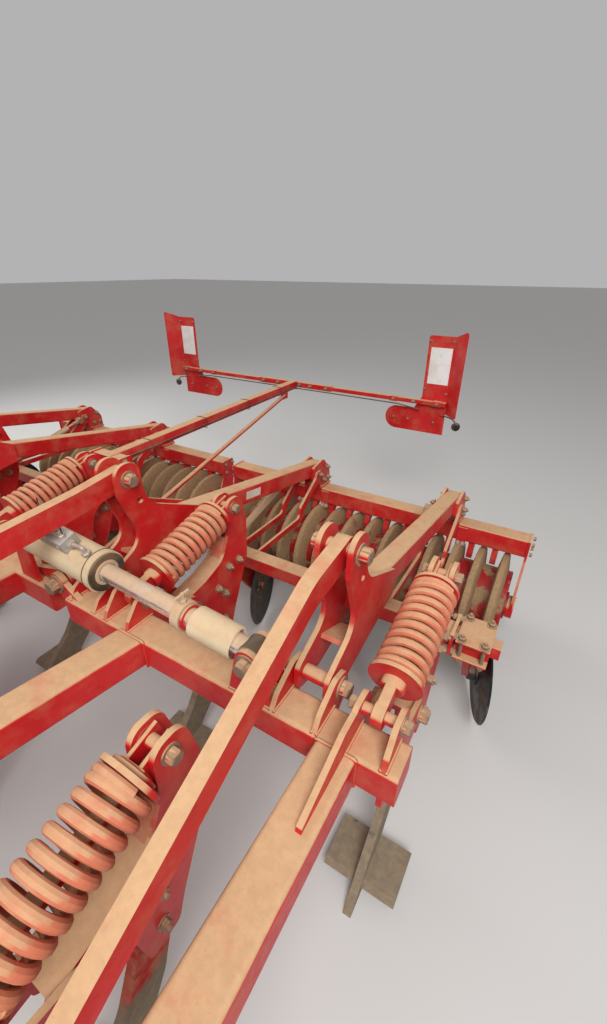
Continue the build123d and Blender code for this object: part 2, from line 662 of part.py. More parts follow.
# Each board: an upright plate whose outer edge is bent forward, over a lower plate with a round end
board_inner_x = 1060
board_low_z = 985
board_top_z = 1500
board_flange = 130
lamp_plate = (800, 1240)
lamp_plate_z = (832, 1000)
with BuildPart() as light_board:
    board_y = rear_y + back_reach - board_thickness / 2
    with BuildSketch(Plane.XZ.offset(-board_y)) as face:
        with BuildLine():
            FilletPolyline((board_inner_x, board_top_z), (light_bar_half, board_top_z),
                           (light_bar_half, board_low_z), (board_inner_x - 60, board_low_z),
                           (board_inner_x, board_low_z + 100), radius=[15, 0, 0, 0, 40], close=True)
        make_face()
        with BuildLine():
            FilletPolyline((lamp_plate[0], lamp_plate_z[0]), (lamp_plate[1], lamp_plate_z[0]),
                           (lamp_plate[1], lamp_plate_z[1]), (lamp_plate[0], lamp_plate_z[1]),
                           radius=[82, 0, 0, 82], close=True)
        make_face()
    extrude(face.sketch, amount=board_thickness / 2, both=True)
    fold = Plane(origin=(light_bar_half, board_y, board_low_z), x_dir=(1, -1, 0), z_dir=(-1, -1, 0))
    with BuildSketch(fold) as face:
        with BuildLine():
            FilletPolyline((0, 0), (board_flange, 0), (board_flange, board_top_z - board_low_z + 45),
                           (0, board_top_z - board_low_z), radius=[0, 15, 15, 0], close=True)
        make_face()
    extrude(face.sketch, amount=board_thickness / 2, both=True)
both_sides("light_board", light_board.part)
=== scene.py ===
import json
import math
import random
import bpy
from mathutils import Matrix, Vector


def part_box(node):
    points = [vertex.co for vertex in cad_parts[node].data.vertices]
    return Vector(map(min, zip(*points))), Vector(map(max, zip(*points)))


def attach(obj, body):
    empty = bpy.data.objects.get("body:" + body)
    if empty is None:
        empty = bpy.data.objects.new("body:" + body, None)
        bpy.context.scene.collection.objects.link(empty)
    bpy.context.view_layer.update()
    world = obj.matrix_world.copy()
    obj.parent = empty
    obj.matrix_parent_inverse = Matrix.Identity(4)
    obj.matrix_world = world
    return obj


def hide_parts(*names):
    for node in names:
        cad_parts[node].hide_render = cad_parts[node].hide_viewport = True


bl_info = {
    "name": "Folding Subsoiler Finish",
    "version": (1, 0, 0),
    "blender": (4, 5, 0),
    "location": "View3D > Sidebar > Subsoiler",
    "description": "Dresses a folding subsoiler with paint, dust, springs, packer rings, bolts and lamps",
    "category": "Object",
}

import bmesh
import bpy
from bpy.props import FloatProperty, FloatVectorProperty, IntProperty, PointerProperty
from mathutils import Euler, Vector, noise

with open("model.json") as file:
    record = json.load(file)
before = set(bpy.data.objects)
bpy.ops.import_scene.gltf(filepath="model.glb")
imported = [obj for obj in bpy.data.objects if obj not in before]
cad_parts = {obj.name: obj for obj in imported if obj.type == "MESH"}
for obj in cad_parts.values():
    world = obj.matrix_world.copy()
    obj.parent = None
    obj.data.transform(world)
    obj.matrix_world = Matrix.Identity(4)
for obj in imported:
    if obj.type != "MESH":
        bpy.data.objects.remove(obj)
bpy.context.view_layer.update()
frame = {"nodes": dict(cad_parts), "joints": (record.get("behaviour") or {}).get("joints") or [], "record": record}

JOINT = {joint["name"]: joint for joint in frame["joints"]}


def joint_place(name):
    return Vector(JOINT[name]["pos_m"])


def joint_axis(name):
    return Vector(JOINT[name]["axis"])


# Read from the frame's joints. X runs to the machine's right, Y to its rear and Z up, all in metres.
HINGE = joint_place("fold_right")
REAR_Y = HINGE.y
FRONT_Y = REAR_Y - 0.87
ROLLER_AXIS = joint_place("roller_spin_right")
CYLINDER_FOOT = joint_place("barrel_turn_right")
CYLINDER_RUN = joint_axis("rod_slide_right")

# Places that the frame's boxes don't give. Beams are named by their middles.
CYLINDER_HEAD = Vector((1.420, REAR_Y, 0.995))
BEAM_HALF = 0.055
BEAM_TOP = 0.870
RAIL_ENDS = ((0.96, 0.80), (1.69, 1.69))
ROLLER_BEAM = Vector((0, REAR_Y + 1.620, 0.615))
DISC_BEAM = Vector((0, REAR_Y + 0.850, 0.545))
SLIDE_CLAMP = (1.818, 1.950)
LIGHT_BAR = Vector((0, REAR_Y + 2.470, 1.055))
BOARD_FACE = REAR_Y + 2.485

# Each leg's x and its beam's y, and the pins of a leg measured from there
LEG_PITCH = 0.44
WING_LEGS = ((2 * LEG_PITCH, REAR_Y), (4 * LEG_PITCH, REAR_Y), (1.42, FRONT_Y))
CENTRE_LEGS = ((0.0, REAR_Y), (-LEG_PITCH, FRONT_Y), (LEG_PITCH, FRONT_Y))
LEG_PIVOT = Vector((0, 0.243, 0.746))
SPRING_FOOT = Vector((0, 0.045, 0.930))
SPRING_HEAD = Vector((0, 0.530, 1.050))
SPRING_RUN = (SPRING_HEAD - SPRING_FOOT).normalized()

# Each tower's x, and its top link's front pin: distance behind the front beam's middle, height
TOWERS = ((0.70, 0.0, 1.165), (1.56, 0.12, 0.850))

# The bodies that have legs, and the two sides: all places are those of the right one
LEG_GROUPS = (("wing_right", WING_LEGS), ("wing_left", WING_LEGS), ("centre", CENTRE_LEGS))
SIDES = ("right", "left")

RIGHT = Vector((1, 0, 0))
BACK = Vector((0, 1, 0))
UP = Vector((0, 0, 1))

# Materials by name, and those of each slot in the record: the first is for the frame's own nodes
FINISH = {}
SLOTS = {
    "red_paint": ("red paint", "drum paint"),
    "spring_paint": ("spring paint",),
    "leg_steel": ("leg steel",),
    "roller_steel": ("ring soil",),
    "disc_steel": ("disc steel", "black paint", "old grease"),
    "cream_paint": ("cream paint", "label ground", "white reflector"),
    "rod_steel": ("rod steel", "dusty nuts", "plated steel", "grey alloy", "dusty tube"),
}


def colour_of(name, text, value):
    return FloatVectorProperty(
        name=name, description=text, subtype="COLOR", size=3, min=0, max=1, default=value
    )


def length_of(name, text, value):
    return FloatProperty(name=name, description=text, unit="LENGTH", subtype="DISTANCE", default=value)


class SUBSOILER_PG_colours(bpy.types.PropertyGroup):
    red: colour_of("Red", "Paint of the frame", (0.50, 0.009, 0.010))
    orange: colour_of("Orange", "Paint of the springs", (0.56, 0.050, 0.026))
    cream: colour_of("Cream", "Paint of the fold cylinders", (0.62, 0.52, 0.34))
    dust: colour_of("Dust", "Dry soil dust that lies on what faces up", (0.59, 0.37, 0.20))
    soil: colour_of("Soil", "Soil that sticks to the legs and discs", (0.270, 0.205, 0.135))
    ring: colour_of("Ring soil", "Dried soil on the packer rings", (0.385, 0.240, 0.120))
    zinc: colour_of("Zinc", "Plated bolts and fittings", (0.46, 0.44, 0.40))
    black: colour_of("Black", "Lamps, wires and the discs' hubs", (0.018, 0.018, 0.020))
    floor: colour_of("Floor", "Plain floor under the machine", (0.58, 0.565, 0.545))


class SUBSOILER_PG_sizes(bpy.types.PropertyGroup):
    spring_wire: length_of("Spring wire", "Thickness of the leg springs' wire", 0.0238)
    spring_radius: length_of("Spring radius", "Outer radius of the leg springs", 0.072)
    spring_turns: FloatProperty(name="Spring turns", description="Free turns of a leg spring", default=9.2)
    ring_count: IntProperty(name="Rings", description="Rings on each packer roller", default=15)
    ring_pitch: length_of("Ring pitch", "Distance from ring to ring", 0.125)
    drum_radius: length_of("Drum radius", "Radius of the roller's drum", 0.188)
    bolt: length_of("Bolt size", "Distance across the flats of a common bolt head", 0.024)
    big_bolt: length_of("Large bolt size", "Distance across the flats of a pivot's nut", 0.041)


def colours():
    return bpy.context.scene.subsoiler_colours


def sizes():
    return bpy.context.scene.subsoiler_sizes


# Shapes


def side_vectors(axis):
    axis = axis.normalized()
    helper = UP if abs(axis.z) < 0.9 else BACK
    first = axis.cross(helper).normalized()
    return first, axis.cross(first).normalized()


def circle(middle, first, second, radius, sides):
    """Points around a middle, in the plane of two directions."""
    turns = [math.tau * i / sides for i in range(sides)]
    return [middle + (first * math.cos(t) + second * math.sin(t)) * radius for t in turns]


class Form:
    """A mesh in the making, out of plates, turned parts, tubes and bolts."""

    def __init__(self):
        self.bm = bmesh.new()

    def skin(self, rings, cyclic=False):
        """Faces from ring to ring, closed at both ends unless the last ring joins the first."""
        rows = [[self.bm.verts.new(point) for point in ring] for ring in rings]
        pairs = list(zip(rows, rows[1:]))
        if cyclic:
            pairs.append((rows[-1], rows[0]))
        for low, high in pairs:
            for i in range(len(low)):
                j = (i + 1) % len(low)
                self.bm.faces.new((low[i], low[j], high[j], high[i]))
        if not cyclic:
            self.bm.faces.new(list(reversed(rows[0])))
            self.bm.faces.new(rows[-1])

    def slab(self, outline, push):
        """A flat outline, made thick by a push to one side."""
        self.skin([outline, [point + push for point in outline]])

    def plate(self, at, across, up, width, height, push):
        """A rectangle made thick. Its width and its height are each two distances from a point."""
        (left, right), (low, high) = width, height
        corners = ((left, low), (right, low), (right, high), (left, high))
        self.slab([at + across * a + up * b for a, b in corners], push)

    def turned(self, start, axis, profile, sides, hollow=False):
        """A turned part from distances along its axis and radii. A hollow one's go all around its wall."""
        axis = axis.normalized()
        first, second = side_vectors(axis)
        rings = [circle(start + axis * along, first, second, radius, sides) for along, radius in profile]
        self.skin(rings, hollow)

    def round_bar(self, start, end, radius, sides):
        soft = 0.0012
        length = (end - start).length
        profile = ((0, radius - soft), (soft, radius), (length - soft, radius), (length, radius - soft))
        self.turned(start, end - start, profile, sides)

    def tube(self, path, radius, sides):
        """A round wire or pipe along a path of points, with one radius or one for each point."""
        rings = []
        first, _ = side_vectors(path[1] - path[0])
        for i, point in enumerate(path):
            ahead = path[min(i + 1, len(path) - 1)] - path[max(i - 1, 0)]
            ahead.normalize()
            first = (first - ahead * first.dot(ahead)).normalized()
            size = radius[i] if isinstance(radius, list) else radius
            rings.append(circle(point, first, ahead.cross(first), size, sides))
        self.skin(rings)

    def bolt(self, at, axis, across, washer=True, thread=0.35):
        """A hexagon head or nut on its washer. Its measures are parts of the distance across its flats."""
        axis = axis.normalized()
        corner = across / math.sqrt(3)
        base = 0.0
        if washer:
            base = across * 0.11
            self.turned(at, axis, ((0, across * 0.76), (base, across * 0.76)), 24)
        height = across * 0.62
        head = ((base, corner * 0.97), (base + height * 0.85, corner), (base + height, corner * 0.84))
        self.turned(at, axis, head, 6)
        if thread:
            end = ((0, across * 0.3), (across * thread, across * 0.27))
            self.turned(at + axis * (base + height), axis, end, 12)

    def weld(self, path, size, seed):
        """A weld bead with its small ripples."""
        chance = random.Random(seed)
        points = resampled(path, size * 0.8)
        ripples = []
        for i in range(len(points)):
            ripples.append(size * (0.72 + 0.28 * abs(math.sin(i * 1.5)) + chance.uniform(-0.06, 0.06)))
        self.tube(points, ripples, 6)


def resampled(path, step):
    points = [path[0]]
    for start, end in zip(path, path[1:]):
        count = max(1, round((end - start).length / step))
        points += [start.lerp(end, (i + 1) / count) for i in range(count)]
    return points


def bent(path, step):
    """A wire's line: the corners of its path are cut three times over."""
    for _ in range(3):
        cut = [path[0]]
        for start, end in zip(path, path[1:]):
            cut += [start.lerp(end, 0.25), start.lerp(end, 0.75)]
        path = cut + [path[-1]]
    return resampled(path, step)


def piece(form, name, body, finish, sharp=32, bevel=0.0):
    """Turns a form into an object that rides on a body. A piece of the left is mirrored to that side."""
    if name.endswith("_left"):
        for vert in form.bm.verts:
            vert.co.x = -vert.co.x
    bmesh.ops.recalc_face_normals(form.bm, faces=form.bm.faces)
    mesh = bpy.data.meshes.new(name)
    form.bm.to_mesh(mesh)
    form.bm.free()
    mesh.shade_smooth()
    mesh.set_sharp_from_angle(angle=math.radians(sharp))
    made = bpy.data.objects.new(name, mesh)
    bpy.context.scene.collection.objects.link(made)
    mesh.materials.append(FINISH[finish])
    if bevel:
        soften(made, bevel)
    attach(made, body)
    return made


def named(body, title):
    """A name from a body and a title: wing_right and bolts make wing_bolts_right."""
    part, _, side = body.partition("_")
    return f"{part}_{title}_{side}" if side else f"{part}_{title}"


def soften(made, width):
    bevel = made.modifiers.new("edges", "BEVEL")
    bevel.width = width
    bevel.segments = 2
    bevel.limit_method = "ANGLE"
    bevel.angle_limit = math.radians(40)
    bevel.harden_normals = True


# Shader node groups


def new_group(name, inputs, outputs):
    """A node group with number sockets: its inputs have names and values, its outputs names."""
    group = bpy.data.node_groups.new(name, "ShaderNodeTree")
    for title, value in inputs.items():
        socket = group.interface.new_socket(name=title, in_out="INPUT", socket_type="NodeSocketFloat")
        socket.default_value = value
    for title in outputs:
        group.interface.new_socket(name=title, in_out="OUTPUT", socket_type="NodeSocketFloat")
    source = group.nodes.new("NodeGroupInput")
    sink = group.nodes.new("NodeGroupOutput")
    return group, source.outputs, sink.inputs


def plug(tree, socket, value):
    if isinstance(value, bpy.types.NodeSocket):
        tree.links.new(value, socket)
    else:
        socket.default_value = value


def noise_of(tree, coordinates, scale, detail, rough=0.55):
    node = tree.nodes.new("ShaderNodeTexNoise")
    for title, value in (("Vector", coordinates), ("Scale", scale), ("Detail", detail), ("Roughness", rough)):
        plug(tree, node.inputs[title], value)
    return node.outputs["Fac"]


def maths(tree, operation, *values, clamp=False):
    node = tree.nodes.new("ShaderNodeMath")
    node.operation = operation
    node.use_clamp = clamp
    for socket, value in zip(node.inputs, values):
        plug(tree, socket, value)
    return node.outputs[0]


def spread(tree, value, *limits):
    """A value stretched with soft ends from one range to another, which is 0 to 1 where none is given."""
    node = tree.nodes.new("ShaderNodeMapRange")
    node.interpolation_type = "SMOOTHSTEP"
    for title, limit in zip(("Value", "From Min", "From Max", "To Min", "To Max"), (value, *limits)):
        plug(tree, node.inputs[title], limit)
    return node.outputs["Result"]


def mixed(tree, amount, first, second):
    node = tree.nodes.new("ShaderNodeMix")
    node.data_type = "RGBA"
    plug(tree, node.inputs["Factor"], amount)
    for title, value in (("A", first), ("B", second)):
        socket = next(s for s in node.inputs if s.name == title and s.type == "RGBA")
        plug(tree, socket, value if isinstance(value, bpy.types.NodeSocket) else (*value, 1.0))
    return next(s for s in node.outputs if s.type == "RGBA")


def scaled(colour, part):
    return [channel * part for channel in colour]


def place_of(tree):
    return tree.nodes.new("ShaderNodeTexCoord").outputs["Object"]


def settled_dust():
    """Mask of the dust that lies on what faces up, and of a thinner film in patches elsewhere."""
    inputs = {"Top": 0.9, "Film": 0.15, "Even": 0.0, "Scale": 9.0}
    group, given, result = new_group("Settled dust", inputs, ["Mask"])
    place = place_of(group)
    shape = group.nodes.new("ShaderNodeNewGeometry")
    local = group.nodes.new("ShaderNodeVectorTransform")
    local.vector_type = "NORMAL"
    local.convert_from = "WORLD"
    local.convert_to = "OBJECT"
    group.links.new(shape.outputs["Normal"], local.inputs[0])
    parts = group.nodes.new("ShaderNodeSeparateXYZ")
    group.links.new(local.outputs[0], parts.inputs[0])
    large = noise_of(group, place, given["Scale"], 5.0, 0.6)
    small = noise_of(group, place, 130.0, 3.0, 0.7)
    # The steepest face that keeps its dust differs from place to place
    ragged = maths(group, "MULTIPLY_ADD", maths(group, "SUBTRACT", large, 0.5), 0.55, parts.outputs["Z"])
    top = spread(group, ragged, 0.26, 0.62)
    thin = spread(group, large, 0.68, 0.50, 0.78, 1.0)
    top = maths(group, "MULTIPLY", maths(group, "MULTIPLY", top, given["Top"]), thin)
    film = maths(group, "MULTIPLY", spread(group, large, 0.42, 0.68, given["Even"], 1.0), given["Film"])
    speck = spread(group, small, 0.60, 0.75, 1.0, 0.72)
    whole = maths(group, "MAXIMUM", top, film)
    group.links.new(maths(group, "MULTIPLY", whole, speck, clamp=True), result["Mask"])


def worn_edges():
    """Mask of chipped and rubbed edges."""
    group, given, result = new_group("Worn edges", {"Reach": 0.003, "Amount": 1.0}, ["Mask"])
    shape = group.nodes.new("ShaderNodeNewGeometry")
    round_off = group.nodes.new("ShaderNodeBevel")
    round_off.samples = 4
    group.links.new(given["Reach"], round_off.inputs["Radius"])
    product = group.nodes.new("ShaderNodeVectorMath")
    product.operation = "DOT_PRODUCT"
    group.links.new(round_off.outputs[0], product.inputs[0])
    group.links.new(shape.outputs["Normal"], product.inputs[1])
    edge = spread(group, product.outputs["Value"], 0.985, 0.88)
    patch = spread(group, noise_of(group, place_of(group), 38.0, 5.0, 0.7), 0.46, 0.60)
    mask = maths(group, "MULTIPLY", maths(group, "MULTIPLY", edge, patch), given["Amount"], clamp=True)
    group.links.new(mask, result["Mask"])


def crust():
    """Mask, height and tone of soil that dried on a surface."""
    inputs = {"Scale": 14.0, "Cover": 0.6}
    group, given, result = new_group("Soil crust", inputs, ["Mask", "Height", "Tone"])
    place = place_of(group)
    broad = noise_of(group, place, given["Scale"], 6.0, 0.6)
    lumps = noise_of(group, place, maths(group, "MULTIPLY", given["Scale"], 5.0), 6.0, 0.7)
    edge = maths(group, "SUBTRACT", 0.74, maths(group, "MULTIPLY", given["Cover"], 0.5))
    mask = spread(group, broad, edge, maths(group, "ADD", edge, 0.09))
    group.links.new(mask, result["Mask"])
    group.links.new(maths(group, "MULTIPLY_ADD", lumps, 0.35, mask), result["Height"])
    group.links.new(spread(group, lumps, 0.3, 0.7), result["Tone"])


def placed_group(tree, name, **values):
    node = tree.nodes.new("ShaderNodeGroup")
    node.node_tree = bpy.data.node_groups[name]
    for title, value in values.items():
        node.inputs[title].default_value = value
    return node.outputs


def bare_material(name):
    material = bpy.data.materials.new(name)
    material.use_nodes = True
    tree = material.node_tree
    shader = next(node for node in tree.nodes if node.type == "BSDF_PRINCIPLED")
    return material, tree, shader


def bumped(tree, shader, height, distance, strength):
    node = tree.nodes.new("ShaderNodeBump")
    node.inputs["Distance"].default_value = distance
    node.inputs["Strength"].default_value = strength
    tree.links.new(height, node.inputs["Height"])
    tree.links.new(node.outputs["Normal"], shader.inputs["Normal"])


def painted(name, paint, top, film, even=0.0, scale=9.0, gloss=0.34, wear=0.8,
            primer=(0.20, 0.10, 0.06), metallic=0.0):
    """Paint or plated metal with faded patches, worn edges and dust: top is the share that lies on
    what faces up, film the share elsewhere, and even how little that film is broken up."""
    material, tree, shader = bare_material(name)
    place = place_of(tree)
    fade = noise_of(tree, place, 3.2, 3.0)
    grime = noise_of(tree, place, 42.0, 5.0, 0.65)
    pale = [min(1.0, channel * 1.15 + 0.012) for channel in paint]
    colour = mixed(tree, spread(tree, fade, 0.35, 0.68), paint, pale)
    colour = mixed(tree, spread(tree, grime, 0.55, 0.75, 0.0, 0.5), colour, scaled(paint, 0.72))
    edges = placed_group(tree, "Worn edges", Reach=0.0025, Amount=wear)["Mask"]
    colour = mixed(tree, edges, colour, primer)
    dust = placed_group(tree, "Settled dust", Top=top, Film=film, Even=even, Scale=scale)["Mask"]
    tone = mixed(tree, spread(tree, grime, 0.3, 0.7), colours().dust, scaled(colours().dust, 0.88))
    tree.links.new(mixed(tree, dust, colour, tone), shader.inputs["Base Color"])
    shader.inputs["Specular IOR Level"].default_value = 0.30
    rough = maths(tree, "MULTIPLY_ADD", dust, 0.95 - gloss, gloss)
    rough = maths(tree, "MULTIPLY_ADD", spread(tree, grime, 0.35, 0.7), 0.10, rough, clamp=True)
    tree.links.new(rough, shader.inputs["Roughness"])
    if metallic:
        clean = maths(tree, "SUBTRACT", 1.0, dust, clamp=True)
        tree.links.new(maths(tree, "MULTIPLY", clean, metallic), shader.inputs["Metallic"])
    bumped(tree, shader, maths(tree, "MULTIPLY_ADD", dust, 0.8, grime), 0.0012, 0.45)
    FINISH[name] = material


# Height above which a leg still has paint, with half of the noise's reach added
PAINT_LEFT_FROM = 0.50


def soiled_steel(name, metal, metallic, soil, cover, scale=14.0, shine=0.45, distance=0.004, paint=None):
    """Worn metal under dried soil. Where a paint is given, the upper part still has some of it."""
    material, tree, shader = bare_material(name)
    grain = noise_of(tree, place_of(tree), 60.0, 6.0, 0.7)
    dirt = placed_group(tree, "Soil crust", Scale=scale, Cover=cover)
    base = mixed(tree, spread(tree, grain, 0.35, 0.7), metal, scaled(metal, 0.55))
    earth = mixed(tree, dirt["Tone"], scaled(soil, 0.72), soil)
    colour = mixed(tree, dirt["Mask"], base, earth)
    bare = 1.0
    if paint:
        parts = tree.nodes.new("ShaderNodeSeparateXYZ")
        tree.links.new(place_of(tree), parts.inputs[0])
        blur = noise_of(tree, place_of(tree), 11.0, 6.0, 0.65)
        ragged = maths(tree, "MULTIPLY_ADD", blur, 0.30, parts.outputs["Z"])
        kept = spread(tree, ragged, PAINT_LEFT_FROM, PAINT_LEFT_FROM + 0.05)
        film = placed_group(tree, "Settled dust", Top=0.8, Film=0.45, Scale=12.0)["Mask"]
        colour = mixed(tree, kept, colour, mixed(tree, film, paint, colours().dust))
        bare = maths(tree, "SUBTRACT", 1.0, kept, clamp=True)
    tree.links.new(colour, shader.inputs["Base Color"])
    rough = maths(tree, "MULTIPLY_ADD", dirt["Mask"], 0.95 - shine, shine)
    tree.links.new(rough, shader.inputs["Roughness"])
    if metallic:
        clean = maths(tree, "MULTIPLY", maths(tree, "SUBTRACT", 1.0, dirt["Mask"], clamp=True), bare)
        tree.links.new(maths(tree, "MULTIPLY", clean, metallic), shader.inputs["Metallic"])
    bumped(tree, shader, dirt["Height"], distance, 0.7)
    FINISH[name] = material


class SUBSOILER_OT_finishes(bpy.types.Operator):
    """Makes the materials and gives them to the frame's own nodes"""

    bl_idname = "subsoiler.finishes"
    bl_label = "Finishes"

    def execute(self, context):
        settled_dust()
        worn_edges()
        crust()
        shade = colours()
        painted("red paint", shade.red, 0.97, 0.16)
        painted("spring paint", shade.orange, 0.80, 0.62, even=0.62, scale=16.0, gloss=0.50, wear=0.3)
        painted("cream paint", shade.cream, 0.55, 0.25, gloss=0.38, wear=0.4, primer=(0.12, 0.10, 0.08))
        painted("plated steel", shade.zinc, 0.40, 0.20, gloss=0.32, wear=0.5, metallic=0.6)
        painted("grey alloy", (0.42, 0.42, 0.40), 0.28, 0.22, gloss=0.36, wear=0.4, metallic=0.5)
        painted("dusty nuts", (0.24, 0.17, 0.12), 0.62, 0.42, scale=30.0, gloss=0.42, wear=0.6, metallic=0.4)
        painted("dusty tube", (0.50, 0.40, 0.27), 0.85, 0.6, gloss=0.45, wear=0.3)
        painted("black paint", shade.black, 0.35, 0.30, gloss=0.42, primer=(0.16, 0.15, 0.14))
        painted("rod steel", (0.74, 0.71, 0.66), 0.85, 0.12, gloss=0.16, wear=0.2, metallic=0.9)
        painted("old grease", (0.030, 0.025, 0.018), 0.15, 0.30, gloss=0.30, wear=0.0)
        painted("label ground", (0.60, 0.55, 0.46), 0.35, 0.35, gloss=0.45, wear=0.3)
        painted("white reflector", (0.74, 0.74, 0.72), 0.10, 0.30, gloss=0.30, wear=0.2)
        drum_soil, disc_soil = scaled(shade.ring, 0.85), scaled(shade.soil, 0.62)
        soiled_steel("drum paint", scaled(shade.red, 0.8), 0.0, drum_soil, 0.50, 9.0, shine=0.5)
        soiled_steel("leg steel", (0.150, 0.125, 0.100), 0.3, shade.soil, 0.90, 8.0, paint=list(shade.red))
        soiled_steel("ring soil", (0.20, 0.125, 0.065), 0.25, shade.ring, 0.92, distance=0.007)
        soiled_steel("disc steel", (0.035, 0.035, 0.038), 0.5, disc_soil, 0.52, 5.0, 0.38, distance=0.002)
        slot_of = {row["node"]: row["material_slot"] for row in frame["record"]["subparts"]}
        for name, node in frame["nodes"].items():
            node.data.materials.clear()
            node.data.materials.append(FINISH[SLOTS[slot_of[name]][0]])
            soften(node, 0.0022)
        return {"FINISHED"}


# A coil's place and length on the line from its foot pin to its head pin
COIL_SEAT = 0.107
COIL_LENGTH = 0.315

# Turns that lie flat at each end of a coil, and what one of them rises in thicknesses of the wire
FLAT_TURNS = 0.85
FLAT_RISE = 0.25


def coil(form, x, y):
    size = sizes()
    wire = size.spring_wire
    start = Vector((x, y, 0)) + SPRING_FOOT + SPRING_RUN * (COIL_SEAT + wire / 2)
    first, second = side_vectors(SPRING_RUN)
    turns = size.spring_turns + 2 * FLAT_TURNS
    steps = int(turns * 22)
    rise = COIL_LENGTH - wire - 2 * FLAT_TURNS * wire * FLAT_RISE
    path = []
    for i in range(steps + 1):
        turn = turns * i / steps
        free = min(max(turn - FLAT_TURNS, 0), size.spring_turns) / size.spring_turns
        flat = min(turn, FLAT_TURNS) + max(turn - FLAT_TURNS - size.spring_turns, 0)
        height = rise * free + flat * wire * FLAT_RISE
        angle = math.tau * turn
        around = first * math.cos(angle) + second * math.sin(angle)
        path.append(start + SPRING_RUN * height + around * (size.spring_radius - wire / 2))
    form.tube(path, wire / 2, 10)


def spring_ends(form, x, y):
    """The collar at a spring's foot, the disc at its head, and the head pin's washers."""
    foot = Vector((x, y, 0)) + SPRING_FOOT
    form.turned(foot + SPRING_RUN * 0.070, SPRING_RUN, ((0, 0.030), (0.006, 0.034), (0.025, 0.034)), 28)
    disc = ((0, 0.050), (0.004, 0.052), (0.010, 0.052), (0.013, 0.040))
    form.turned(foot + SPRING_RUN * 0.4335, SPRING_RUN, disc, 32)
    for way in (-1, 1):
        at = Vector((x + way * 0.0245, y, 0)) + SPRING_HEAD
        form.turned(at, RIGHT * way, ((0, 0.028), (0.006, 0.028), (0.0075, 0.026)), 28)


def at_legs(shape, legs):
    form = Form()
    for x, y in legs:
        shape(form, x, y)
    return form


class SUBSOILER_OT_springs(bpy.types.Operator):
    """Winds the coil springs of the legs"""

    bl_idname = "subsoiler.springs"
    bl_label = "Leg springs"

    def execute(self, context):
        for body, legs in LEG_GROUPS:
            made = piece(at_legs(coil, legs), named(body, "spring_coils"), body, "spring paint")
            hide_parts(named(body, "springs"))
        for body, legs in LEG_GROUPS:
            piece(at_legs(spring_ends, legs), named(body, "spring_cups"), body, "red paint", sharp=40)
        return {"FINISHED"}


# Distance from the axle's ends to the drum's, and points around a ring
DRUM_INSET = 0.038
RING_STEPS = 120


def packer_ring(form, middle, radius, drum, chance):
    """One ring: a tapered section with a flat crest, pitted by dried soil."""
    half = [(0.029, drum - 0.004), (0.0275, drum + 0.010), (0.0165, radius - 0.006), (0.0130, radius)]
    profile = [(-along, out) for along, out in half] + half[::-1]
    shift = chance.uniform(0, 50)
    rings = []
    for i in range(RING_STEPS):
        angle = math.tau * i / RING_STEPS
        around = Vector((0, math.cos(angle), math.sin(angle)))
        section = []
        for k, (along, out) in enumerate(profile):
            spot = around * 3.1 + Vector((shift, k * 0.23, 0))
            lump = 0.0022 * noise.noise(spot * 2.7) + 0.0012 * noise.noise(spot * 11.0)
            grown = min(out + (lump if 0 < k < len(profile) - 1 else 0), radius)
            section.append(middle + Vector((along + lump * 0.5, 0, 0)) + around * grown)
        rings.append(section)
    form.skin(rings, cyclic=True)


class SUBSOILER_OT_rollers(bpy.types.Operator):
    """Turns the packer rollers' drums and their soil-coated rings"""

    bl_idname = "subsoiler.rollers"
    bl_label = "Packer rollers"

    def execute(self, context):
        size = sizes()
        low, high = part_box("roller_right")
        middle = Vector(((low.x + high.x) / 2, ROLLER_AXIS.y, ROLLER_AXIS.z))
        half = (high.x - low.x) / 2
        end = half - DRUM_INSET
        rim = size.drum_radius
        drum = ((0, rim - 0.008), (0.003, rim), (2 * end - 0.003, rim), (2 * end, rim - 0.008))
        hub = ((0, 0.075), (0.010, 0.075), (0.012, 0.045), (0.030, 0.042))
        axle = ((0.0, 0.0295), (half - end - 0.001, 0.0295))
        for name, seed in zip(SIDES, (8, 6)):
            chance = random.Random(seed)
            form = Form()
            for step in range(size.ring_count):
                offset = (step - (size.ring_count - 1) / 2) * size.ring_pitch
                packer_ring(form, middle + RIGHT * offset, (high.z - low.z) / 2, rim, chance)
            rings = piece(form, f"packer_rings_{name}", f"roller_{name}", "ring soil", sharp=50)
            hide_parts(f"roller_{name}")
            form = Form()
            form.turned(middle - RIGHT * end, RIGHT, drum, 64)
            for way in (-1, 1):
                form.turned(middle + RIGHT * way * end, RIGHT * way, hub, 32)
                form.turned(middle + RIGHT * way * end, RIGHT * way, axle, 24)
            piece(form, f"packer_drum_{name}", f"roller_{name}", "drum paint")
        return {"FINISHED"}


# Half widths over a leg's lever plates, the ears on its beam, a tower's plates and the plates' pads
LEVER_FACE = 0.040
EAR_FACE = 0.059
TOWER_FACE = 0.053
PIVOT_FACE = 0.072

# Bolts and pins by their distance behind a beam's middle and their height
LEVER_BOLTS = ((0.395, 0.735), (0.430, 0.690), (0.415, 0.560), (0.535, 0.800), (0.470, 0.800))
TOWER_PIVOT = (0.088, 0.905)
TOWER_PIN = (0.200, 1.265)
TOWER_BOLTS = ((1.600, 0.715), (1.655, 0.715), (1.640, 0.790))
ARM_BOLT = (1.515, 0.785)
LIGHT_ARM_BOLTS = ((0.090, 0.800), (0.090, 0.850), (0.130, 0.825), (0.655, 1.030), (0.695, 1.000))


def both_faces(form, x, half, y, places, across, thread=0.35):
    """Bolts on each side of an upright plate or pair of plates."""
    for back, height in places:
        for way in (-1, 1):
            form.bolt(Vector((x + way * half, y + back, height)), RIGHT * way, across, thread=thread)


def lengthways_nuts(form, at, half, across):
    for way in (-1, 1):
        form.bolt(at + BACK * way * half, BACK * way, across, thread=0)


